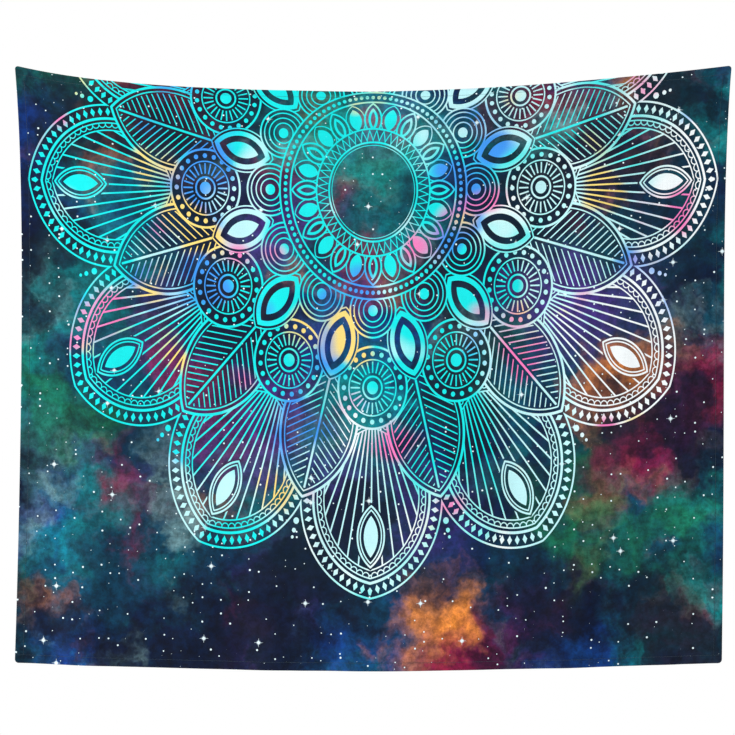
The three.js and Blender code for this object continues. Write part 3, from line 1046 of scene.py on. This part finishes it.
def threads():
    """The needle thread's stitches in front and the bobbin thread's behind, hem by hem."""
    dark = spun_thread("needle_thread", (0.008, 0.02, 0.035), (0.03, 0.07, 0.10), 3000)
    pale = spun_thread("bobbin_thread", (0.55, 0.55, 0.52), (0.78, 0.78, 0.75), 3000)
    kinds = [
        ("needle_thread", dark, -CLOTH_THICKNESS / 2 - 0.15 * MM, -1),
        ("bobbin_thread", pale, HEM_BACK - 0.30 * MM, 1),
    ]
    made = []
    for name, upright, fixed, start, end in stitch_lines():
        for kind, material, level, lift in kinds:
            places, faces = stitch_row(start, end, upright, fixed, level, lift)
            piece = f"{kind}_stitches_{name}"
            made.append(make(piece, places, faces, [material], f"{kind}_{name}"))
    return made


# ---------------------------------------------------------------- loops, tacks, hooks, pads
def smooth_path(points, steps):
    """A Catmull-Rom line through points."""
    points = np.asarray(points, float)
    padded = np.concatenate([[2 * points[0] - points[1]], points, [2 * points[-1] - points[-2]]])
    line = []
    for index in range(len(points) - 1):
        a, b, c, d = padded[index : index + 4]
        for step in range(steps):
            t = step / steps
            bend = (2 * a - 5 * b + 4 * c - d) * t**2 + (3 * b - a - 3 * c + d) * t**3
            line.append(0.5 * (2 * b + (c - a) * t + bend))
    line.append(points[-1])
    return np.array(line)


def loop_path(x):
    """The cord's line: up one leg, over the hook and down the other."""
    legs = [
        (-LOOP_LENGTH, SEWN_Y),
        (-LOOP_LENGTH + 2.5 * MM, SEWN_Y),
        (-LOOP_LENGTH + 5 * MM, SEWN_Y),
        (-LOOP_LENGTH + 9.5 * MM, (SEWN_Y - HINGE_REACH) / 2),
    ]
    points = [(x - LOOP_RADIUS, y, z) for z, y in legs]
    for step in range(9):
        angle = math.pi * (1 - step / 8)
        height = LOOP_RADIUS * (math.sin(angle) - 1)
        points.append((x + LOOP_RADIUS * math.cos(angle), -HINGE_REACH, height))
    points += [(x + LOOP_RADIUS, y, z) for z, y in reversed(legs)]
    return smooth_path(points, 24)


def braid(along, angles):
    """Plaited strands: two sets of ridges that cross over each other by turns."""
    turn = along / BRAID_LAY
    right = np.abs(np.cos(2 * angles + turn))
    left = np.abs(np.cos(2 * angles - turn))
    return 0.80 + 0.20 * np.maximum(right**1.5, left**1.5)


def sealed(length):
    """braid, drawn in to rounded tips over the cord's two melted ends."""

    def size(along, angles):
        from_end = max(min(along, length - along), 0) / CORD_RADIUS
        tip = math.sqrt(max(1 - (1 - min(from_end, 1)) ** 2, 0.02))
        return tip * braid(along, angles)

    return size


def loops():
    material = spun_thread("loop_cord", (0.60, 0.57, 0.50), (0.82, 0.80, 0.74), 2200)
    made = []
    for name, x in (("left", -LOOP_X), ("right", LOOP_X)):
        path = loop_path(x)
        length = np.linalg.norm(np.diff(path, axis=0), axis=1).sum()
        places, faces = tube(path, CORD_RADIUS, CORD_SIDES, sealed(length))
        piece, replaced = f"braided_loop_{name}", f"hanging_loop_{name}"
        made.append(make(piece, places, faces, [material], replaced))
    return made


def tack_pass(x, number):
    """One of the zigzag passes over the ends of the loop whose middle is at x."""
    share = (number + 0.5) / TACK_PASSES
    across = x + (2 * share - 1) * (TACK_HALF_WIDTH - TACK_THREAD_RADIUS)
    lean = TACK_LEAN * (1 if number % 2 else -1)
    over_cord = max(0, 1 - ((abs(across - x) - LOOP_RADIUS) / (1.5 * MM)) ** 2)
    level = SEWN_Y + CORD_RADIUS + 0.25 * MM + 0.15 * MM * over_cord
    points = []
    for step in np.linspace(0, 1, 7):
        height = TACK_BOTTOM + (TACK_TOP - TACK_BOTTOM) * step
        swell = math.sin(math.pi * min(max(step, 0.02), 0.98)) ** 0.5
        points.append((across + lean * (2 * step - 1), level + TACK_SWELL * swell, height))
    return tube(points, TACK_THREAD_RADIUS, 8)


def tacks():
    """Close zigzag stitches over the loops' sewn ends."""
    material = spun_thread("tack_thread", (0.46, 0.47, 0.45), (0.70, 0.71, 0.68), 3000)
    made = []
    for name, x in (("left", -LOOP_X), ("right", LOOP_X)):
        places, faces = joined([tack_pass(x, number) for number in range(TACK_PASSES)])
        piece, replaced = f"zigzag_tack_{name}", f"loop_bar_tack_{name}"
        made.append(make(piece, places, faces, [material], replaced))
    return made


def hooks_and_pads():
    """The CAD hooks and pads stay, with softened edges and their own materials."""
    plastic = moulded_plastic()
    foam = adhesive_foam()
    for side in ("left", "right"):
        for node, material, width in (
            (f"wall_hook_{side}", plastic, HOOK_BEVEL),
            (f"adhesive_pad_{side}", foam, PAD_BEVEL),
        ):
            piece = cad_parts[node]
            piece.data.materials.clear()
            piece.data.materials.append(material)
            bevel = piece.modifiers.new("soft edges", "BEVEL")
            bevel.width = width
            bevel.segments = 3
            bevel.limit_method = "ANGLE"
            bevel.angle_limit = math.radians(40)
            bevel.harden_normals = False


# ---------------------------------------------------------------- camera, light and floor
def camera():
    """Level, and square on to the cloth."""
    low, high = cad_box
    centre = (low + high) / 2
    data = bpy.data.cameras.new("camera")
    data.sensor_width = SENSOR_WIDTH
    data.lens = SENSOR_WIDTH * CAMERA_AWAY / SEEN_WIDTH
    seen = bpy.data.objects.new("camera", data)
    place = (centre.x - CAMERA_LEFT, CLOTH_Y - CAMERA_AWAY, centre.z + CAMERA_UP)
    seen.location = place
    seen.rotation_euler = (math.radians(90), 0, 0)
    bpy.context.scene.collection.objects.link(seen)
    bpy.context.scene.camera = seen


def key_light():
    data = bpy.data.lights.new("key", "AREA")
    data.shape = "DISK"
    data.size = KEY_SIZE
    data.energy = KEY_POWER
    light = bpy.data.objects.new("key", data)
    light.location = KEY_PLACE
    way = Vector(KEY_AIM) - Vector(KEY_PLACE)
    light.rotation_euler = way.to_track_quat("-Z", "Y").to_euler()
    bpy.context.scene.collection.objects.link(light)


def soften(tree):
    """White all round, and dimmer to the right in front of the cloth."""
    way = tree.nodes.new("ShaderNodeTexCoord").outputs["Generated"]
    split = tree.nodes.new("ShaderNodeSeparateXYZ")
    tree.links.new(way, split.inputs[0])
    dims = []
    for axis, low, high in ((0, -0.6, 0.8), (1, 0.1, -0.4)):
        dim = tree.nodes.new("ShaderNodeMapRange")
        dim.interpolation_type = "SMOOTHSTEP"
        dim.inputs["From Min"].default_value = low
        dim.inputs["From Max"].default_value = high
        tree.links.new(split.outputs[axis], dim.inputs["Value"])
        dims.append(dim.outputs[0])
    both = tree.nodes.new("ShaderNodeMath")
    both.operation = "MULTIPLY"
    tree.links.new(dims[0], both.inputs[0])
    tree.links.new(dims[1], both.inputs[1])
    shade = tree.nodes.new("ShaderNodeMath")
    shade.operation = "MULTIPLY_ADD"
    shade.inputs[1].default_value = -WORLD_DIM
    shade.inputs[2].default_value = 1.0
    tree.links.new(both.outputs[0], shade.inputs[0])
    background = tree.nodes["Background"]
    background.inputs[0].default_value = (1, 1, 1, 1)
    tree.links.new(shade.outputs[0], background.inputs[1])


def floor():
    """A pale floor whose rim turns down a little."""
    level = cad_box[0].z - FLOOR_DROP
    steps = 9
    edge = np.linspace(-1.0, 1.0, steps)
    wide, deep = np.meshgrid(edge, edge)
    drop = 0.01 * np.maximum(np.maximum(np.abs(wide), np.abs(deep)) - 0.9, 0)
    grid = [wide * FLOOR_WIDE, deep * FLOOR_DEEP - FLOOR_FORWARD, level - drop]
    mesh = bpy.data.meshes.new("floor")
    faces = grid_faces(steps, steps, flip=True)
    mesh.from_pydata(np.stack(grid, -1).reshape(-1, 3).tolist(), [], faces)
    n = Nodes("floor")
    tone = n.noise(n.own_place(), 3, 3, 0.5, 0, False)
    mesh.materials.append(n.finish(n.colour(tone, (0.83, 0.83, 0.82), (0.87, 0.87, 0.86)), 0.8))
    ground = bpy.data.objects.new("floor", mesh)
    bpy.context.scene.collection.objects.link(ground)


def studio():
    scene = bpy.context.scene
    scene.view_settings.view_transform = "Standard"
    world = bpy.data.worlds.new("studio")
    world.use_nodes = True
    soften(world.node_tree)
    scene.world = world
    key_light()
    floor()


camera()
studio()
DRAPE = drape()
tapestry = cloth()
cloth_hems = hems()
stitches = threads()
cord_loops = loops()
bar_tacks = tacks()
hooks_and_pads()
